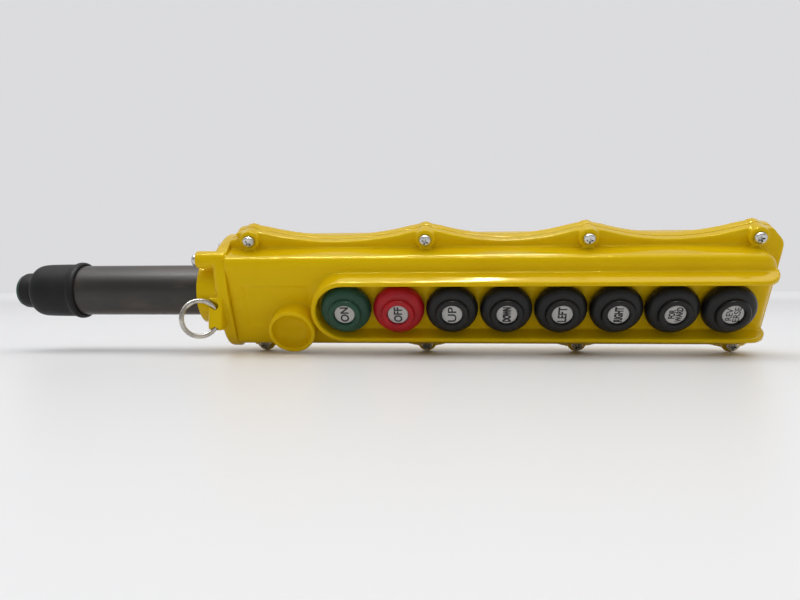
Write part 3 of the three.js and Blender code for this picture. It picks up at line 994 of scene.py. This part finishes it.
class STATION_OT_cable_entry(bpy.types.Operator):
    """Cable entry: the long sleeve, the rubber boot on its free end and the bush in the boot's neck"""

    bl_idname = "station.cable_entry"
    bl_label = "Cable entry"

    def execute(self, context):
        outer_end = [(10.5, 0), (14.2, 0), (15, 0.8)]
        collar_end = [(15, -2.4), (17, -2.4), (17, 0), (10.5, 0)]
        sleeve = spun([*mm(outer_end, SLEEVE_LOW.x), *mm(collar_end, SLEEVE_HIGH.x)], TUBE, "X", 128)
        smooth_shade(sleeve)
        finish_piece(sleeve, "sleeve_tube", ROOT, "sleeve_rubber", sleeve_tube(), ["cable_sleeve"])
        self.boot()
        self.bush()
        return {"FINISHED"}

    def boot(self):
        neck, mouth = BOOT_LOW.x, BOOT_HIGH.x
        outside = curved([
            *mm([(9.7, 0), (10.4, 0.5), (10.6, 3), (10.5, 6), (9.9, 7.4), (11.8, 8.2), (13.9, 9.2),
                 (15.2, 11.6), (15.7, 15.5), (15.9, 24), (16, 32), (16.5, 33.6), (17, 34.6)], neck),
            *mm([(17.05, -1.6), (16.7, -0.5), (16, 0)], mouth),
        ], 5)
        inside = [
            *mm([(15.4, -0.1), (15.3, -0.6)], mouth),
            *mm([(15.3, -1.5), (8.3, -3.5)], SLEEVE_LOW.x),
            *mm([(8.3, 0)], neck),
        ]
        boot = spun([*outside, *inside], TUBE, "X", 128)
        smooth_shade(boot, 35)
        finish_piece(boot, "sleeve_end_boot", ROOT, "black_rubber", boot_rubber(), ["sleeve_boot"])

    def bush(self):
        free_end = [(6.5, 0.6), (7, 0), (8.8, 0), (9.4, 0.6)]
        held_end = [(9.4, -0.5), (9.1, -0.25), (8, -0.25), (8, 12), (6.5, 12)]
        bush = spun([*mm(free_end, flat_box("cable_bush")[0].x), *mm(held_end, BOOT_LOW.x)],
                    TUBE, "X", 96)
        smooth_shade(bush, 30)
        finish_piece(bush, "neck_bush", ROOT, "green_rubber", bush_rubber(), ["cable_bush"])


class STATION_OT_split_ring(bpy.types.Operator):
    """Split ring: two flattened coils of one wire, crossing over in a short bend"""

    bl_idname = "station.split_ring"
    bl_label = "Split ring"

    def execute(self, context):
        turns = 1.97
        steps = 150
        crossing, crossing_run = 0.9, 0.2  # in turns
        half_wide, half_high, rise = 1.3 * MM, 0.62 * MM, 0.67 * MM
        section = [(RING_RADIUS + half_wide * math.cos(a), 0, half_high * math.sin(a))
                   for a in [2 * math.pi * i / 14 for i in range(14)]]
        ring = coiled(section, "Z", turns, steps)
        rings = len(ring.data.vertices) // len(section)
        for i, vertex in enumerate(ring.data.vertices):
            turned = turns * (i // len(section)) / (rings - 1)
            cross = min(max((turned - crossing) / crossing_run, 0), 1)
            vertex.co.z += rise * (2 * cross * cross * (3 - 2 * cross) - 1)
        edit(ring, cap_ends, outward)
        start = Matrix.Rotation(math.radians(150), 4, "Z")
        reshape(ring, lambda point: ring_place(0) @ start @ point)
        smooth_shade(ring, 50)
        finish_piece(ring, "ring_coil", "ring", "nickel_steel", bright_metal("nickel"), ["split_ring"])
        return {"FINISHED"}


# ---------------- screws


def pan_head_screw(length):
    """A pan-head screw along Y, its seat at Y = 0, with a cross recess in its domed head."""
    dome = curved(mm([(0, -2.5), (1.8, -2.45), (2.9, -2.1), (3.4, -1.3), (3.5, -0.4)]), 4)
    thread = []
    pitch = 0.7 * MM
    plain = 1.2 * MM
    y = plain
    while y < length - plain:
        thread += [(2 * MM, y), (1.62 * MM, y + pitch / 2)]
        y += pitch
    screw = spun([*dome, *mm([(3.4, 0), (1.9, 0), (1.9, 0.8)]), *thread,
                  *mm([(1.7, -1), (1, 0), (0, 0)], length)], CENTRE, "Y", 40)
    arms = []
    for turn in (0, math.pi / 2):
        arm = block(-2.1 * MM, 2.1 * MM, -3 * MM, -0.9 * MM, -0.5 * MM, 0.5 * MM)
        narrowed = 0.55
        reshape(arm, lambda point: Vector((point.x * (1 if point.y < -2 * MM else narrowed),
                                           point.y, point.z)))
        reshape(arm, lambda point: Matrix.Rotation(turn, 3, "Y") @ point)
        arms.append(arm)
    core = rod(CENTRE, 0.9 * MM, -3 * MM, -0.8 * MM, steps=16)
    carve([screw], [*arms, core])
    smooth_shade(screw, 28)
    return screw


class STATION_OT_screws(bpy.types.Operator):
    """Screws: eight through the flange's lobes and three through the end cap"""

    bl_idname = "station.screws"
    bl_label = "Screws"

    def execute(self, context):
        head = 2.5 * MM
        low, high = flat_box("cover_screw_upper_1")
        seat = low.y + head
        pattern = pan_head_screw(high.y - seat)
        for i, x in enumerate(LOBES_X):
            for side, z in (("upper", SCREW_Z), ("lower", -SCREW_Z)):
                turn = Matrix.Rotation(math.radians(47 + 67 * i + (side == "lower") * 31), 4, "Y")
                self.place(pattern, Matrix.Translation((x, seat, z)) @ turn,
                           f"flange_screw_{side}_{i + 1}", f"cover_screw_{side}_{i + 1}")
        bpy.data.objects.remove(pattern)
        for i, middle in enumerate(END_SCREWS):
            low, high = flat_box(f"end_screw_{i + 1}")
            seat = low.x + head
            pattern = pan_head_screw(high.x - seat)
            along = Matrix.Rotation(-math.pi / 2, 4, "Z")
            turn = Matrix.Rotation(math.radians(20 + 50 * i), 4, "Y")
            self.place(pattern, Matrix.Translation((seat, middle.y, middle.z)) @ (along @ turn),
                       f"cap_screw_{i + 1}", f"end_screw_{i + 1}")
            bpy.data.objects.remove(pattern)
        return {"FINISHED"}

    def place(self, pattern, place, name, node):
        screw = copy_of(pattern, CENTRE)
        screw.matrix_world = place
        finish_piece(screw, name, ROOT, "zinc_steel", bright_metal("zinc"), [node])


# ---------------- buttons

HUES = {"on": "green", "off": "red"}


def hue_of(name):
    return HUES.get(name, "black")


def rubber_boot():
    """One boot: the bellied skirt, the raised cap and the recess for its plate, in one wall."""
    skirt = curved(mm([
        (12.6, 4.7), (13.3, 4.2), (14.1, 2.8), (14.5, 1), (14.4, -0.9), (13.8, -2.5), (12.8, -3.7),
        (11.5, -4.5), (10.3, -4.9), (9.5, -5.1),
    ]), 4)
    cap = curved(mm([
        (9.25, -5.4), (9.2, -6.4), (9.05, -7.2), (8.6, -7.75), (8, -7.9), (7, -7.85), (6.4, -7.6),
        (6.1, -7.1), (6, -6.3),
    ]), 3)
    inside = mm([
        (5.95, -5.3), (0, -5.3), (0, -3.9), (8.2, -3.9), (9.4, -3.5), (10.9, -2.9), (12, -1.6),
        (12.4, 0.4), (12.2, 2.2), (11.4, 3.1), (7.8, 3.1), (7.8, 4.7),
    ])
    boot = spun([*skirt, *cap, *inside], CENTRE, "Y", 96)
    smooth_shade(boot, 42)
    return boot


class STATION_OT_boots(bpy.types.Operator):
    """Rubber boots: each is moulded in one with its cap"""

    bl_idname = "station.boots"
    bl_label = "Rubber boots"

    def execute(self, context):
        for name, x, boot in per_button(rubber_boot()):
            hue = hue_of(name)
            finish_piece(boot, f"rubber_{name}", None, f"{hue}_boot", button_rubber(hue),
                         [f"boot_{name}"])
            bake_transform(boot)
        return {"FINISHED"}


class STATION_OT_plungers(bpy.types.Operator):
    """Plungers: the stem that each cap pushes, with its snap collar and its pin"""

    bl_idname = "station.plungers"
    bl_label = "Plungers"

    def execute(self, context):
        pin = flat_box("button_on")[1].y
        head_and_collar = [(0, -3.7), (7, -3.7), (7.4, -3.4), (7.4, -2.6), (6.6, -2), (6.6, 8.4),
                           (7.2, 8.5), (7.5, 8.9), (6.2, 12.6), (5.8, 13), (2.3, 13)]
        pin_end = [(2.3, -0.4), (1.9, 0), (0, 0)]
        pattern = spun([*mm(head_and_collar), *mm(pin_end, pin)], CENTRE, "Y", 48)
        smooth_shade(pattern, 30)
        for name, _, plunger in per_button(pattern):
            finish_piece(plunger, f"plunger_{name}", f"{name}_button", f"{hue_of(name)}_cap",
                         inner_plastic(), [f"button_{name}"])
        return {"FINISHED"}


class STATION_OT_legends(bpy.types.Operator):
    """Legend plates: a disc in each cap with its printed word, read from the cable end"""

    bl_idname = "station.legends"
    bl_label = "Legend plates"

    def execute(self, context):
        low, high = flat_box("legend_on")
        pattern = spun([*mm([(0, 0), (5.5, 0), (5.7, 0.2)], low.y), *mm([(5.7, 0), (0, 0)], high.y)],
                       CENTRE, "Y", 64)
        smooth_shade(pattern, 30)
        for name, x, disc in per_button(pattern):
            body = f"{name}_button"
            finish_piece(disc, f"plate_{name}", body, "legend_plate", printed_plate(),
                         [f"legend_{name}"])
            words = LEGENDS.get(name, (name.upper(),))
            finish_piece(self.printed(words, x, low.y), f"words_{name}", body, "legend_plate", ink())
        return {"FINISHED"}

    def printed(self, words, x, front):
        """Words turned a quarter, their tops towards the cable end, raised a hair above the plate."""
        deselect()
        bpy.ops.object.text_add()
        text = bpy.context.object
        text.data.body = "\n".join(words)
        text.data.align_x = "CENTER"
        text.data.align_y = "CENTER"
        text.data.space_line = 0.82
        text.data.extrude = 0.01
        one_line = len(words) == 1
        wide, high = (9.4 * MM, 4.8 * MM) if one_line else (9 * MM, 7.4 * MM)
        bpy.context.view_layer.update()
        heavy = (1.15 if one_line else 0.92) - 0.1 * max(len(word) for word in words)
        stroke = heavy * MM * text.dimensions.x / wide
        text.data.bevel_depth = max(0.01, (stroke - 0.09) / 2)
        text.data.bevel_resolution = 0
        text.data.resolution_u = 4
        pick(text)
        bpy.ops.object.convert(target="MESH")
        word = bpy.context.object
        spans = [[vertex.co[i] for vertex in word.data.vertices] for i in (0, 1)]
        (x0, x1), (y0, y1) = [(min(span), max(span)) for span in spans]
        scale_x = wide / (x1 - x0)
        scale_y = high / (y1 - y0)
        lift = 0.05 * MM

        def rule(point):
            depth = front - lift if point.z > 0 else front + lift
            return Vector((x - (point.y - (y1 + y0) / 2) * scale_y, depth,
                           (point.x - (x1 + x0) / 2) * scale_x))

        reshape(word, rule)
        edit(word, lambda: bpy.ops.mesh.remove_doubles(threshold=0.002 * MM), outward)
        return word


class STATION_OT_springs(bpy.types.Operator):
    """Return springs: wire helices, one for each button"""

    bl_idname = "station.springs"
    bl_label = "Return springs"

    def execute(self, context):
        low, high = flat_box("spring_on")
        wire, radius, turns = 0.45 * MM, 4.1 * MM, 5
        steps = 20
        sides = 8
        section = [(radius + wire * math.cos(a), low.y + wire * (1 + math.sin(a)), 0)
                   for a in [2 * math.pi * i / sides for i in range(sides)]]
        rise = high.y - low.y - 2 * wire
        pattern = coiled(section, "Y", turns, steps * turns, rise)
        edit(pattern, cap_ends, outward)
        for name, x, spring in per_button(pattern):
            finish_piece(spring, f"helix_{name}", ROOT, "spring_steel", bright_metal("zinc"),
                         [f"spring_{name}"])
            travel = joint(f"{name}_press")["range_m"][1]
            1 - travel / (high.y - low.y)
            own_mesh(spring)
        return {"FINISHED"}


class STATION_OT_inner_parts(bpy.types.Operator):
    """Inner parts: gaskets, contact blocks, cable clamp and its screws keep their shape"""

    bl_idname = "station.inner_parts"
    bl_label = "Inner parts"

    def execute(self, context):
        finishes = {
            gasket_sheet(): ("cover_gasket", "end_gasket"),
            inner_plastic(): ("cable_clamp", *(f"contact_block_{i}" for i in (1, 2, 3, 4))),
            bright_metal("zinc"): ("clamp_screw_1", "clamp_screw_2"),
        }
        for finish, nodes in finishes.items():
            for node in nodes:
                for place in frame["nodes"][node].material_slots:
                    place.material = finish
        return {"FINISHED"}


# ---------------- stage


def softbox(name, place, wide, deep, power):
    """A rectangular studio light that faces the table's middle."""
    deselect()
    bpy.ops.object.light_add(type="AREA", location=place)
    light = bpy.context.object
    light.name = name
    light.data.shape = "RECTANGLE"
    light.data.size = wide
    light.data.size_y = deep
    light.data.energy = power
    light.rotation_euler = (Vector(CENTRE) - Vector(place)).to_track_quat("-Z", "Y").to_euler()
    return light


class Room(Finish):
    """The room as a world of soft light, dimmer in front of the table than behind it."""

    def __init__(self, air):
        self.world = bpy.data.worlds.new("room")
        self.world.use_nodes = True
        self.tree = self.world.node_tree
        self.surface = self.tree.nodes["Background"]
        gaze = self.node("ShaderNodeTexCoord", {}, {}, "Generated")
        away = self.node("ShaderNodeSeparateXYZ", {}, {0: gaze}, "Y")
        dimmed = shade(air, 0.5)
        self.put("Color", self.mix(self.step(away, -0.9, 0.45), dimmed, air))


class STATION_OT_stage(bpy.types.Operator):
    """Stage: a pale table, the room's soft light and the camera"""

    bl_idname = "station.stage"
    bl_label = "Stage"

    def execute(self, context):
        stage = context.scene.station_stage
        deselect()
        bpy.ops.mesh.primitive_plane_add(size=40)
        floor = bpy.context.object
        floor.name = "table"
        floor.data.materials.append(table_top())
        context.scene.world = Room(stage.air).world
        context.scene.view_settings.view_transform = "Standard"
        softbox("ceiling_light", (0, -0.3, 1.9), wide=3.2, deep=2, power=26)
        for name, y in (("tube_light_front", -0.5), ("tube_light_back", 0.1)):
            tube = softbox(name, (-0.1, y, 1.5), wide=1.3, deep=0.03, power=13)
            tube.visible_diffuse = False  # it only draws a line of light on glossy edges
        deselect()
        bpy.ops.object.camera_add(location=stage.camera_place, rotation=stage.camera_turn)
        camera = bpy.context.object
        camera.name = "camera"
        camera.data.lens = stage.lens
        camera.data.clip_start, camera.data.clip_end = 0.01, 100
        context.scene.camera = camera
        return {"FINISHED"}


# ---------------- add-on


class STATION_PT_pieces(bpy.types.Panel):
    """Lists the pieces in the order in which they are made"""

    bl_idname = "STATION_PT_pieces"
    bl_label = "Pendant Control Station"
    bl_space_type = "VIEW_3D"
    bl_region_type = "UI"
    bl_category = "Station"

    def draw(self, context):
        for operator in OPERATORS:
            self.layout.operator(operator.bl_idname)
        for group in (context.scene.station_sizes, context.scene.station_colours,
                      context.scene.station_stage):
            box = self.layout.box()
            for name in group.bl_rna.properties.keys():
                if name not in ("rna_type", "name"):
                    box.prop(group, name)


GROUPS = {
    "station_sizes": StationSizes,
    "station_colours": StationColours,
    "station_stage": StationStage,
}
OPERATORS = (
    STATION_OT_front_cover,
    STATION_OT_rear_housing,
    STATION_OT_end_cap,
    STATION_OT_cable_entry,
    STATION_OT_split_ring,
    STATION_OT_screws,
    STATION_OT_boots,
    STATION_OT_plungers,
    STATION_OT_legends,
    STATION_OT_springs,
    STATION_OT_inner_parts,
    STATION_OT_stage,
)


def register():
    for name, group in GROUPS.items():
        bpy.utils.register_class(group)
        setattr(bpy.types.Scene, name, bpy.props.PointerProperty(type=group))
    for each in (*OPERATORS, STATION_PT_pieces):
        bpy.utils.register_class(each)


def unregister():
    for each in (STATION_PT_pieces, *reversed(OPERATORS)):
        bpy.utils.unregister_class(each)
    for name, group in reversed(GROUPS.items()):
        delattr(bpy.types.Scene, name)
        bpy.utils.unregister_class(group)


def main():
    register()
    for operator in OPERATORS:
        area, name = operator.bl_idname.split(".")
        getattr(getattr(bpy.ops, area), name)()


if __name__ == "__main__":
    main()
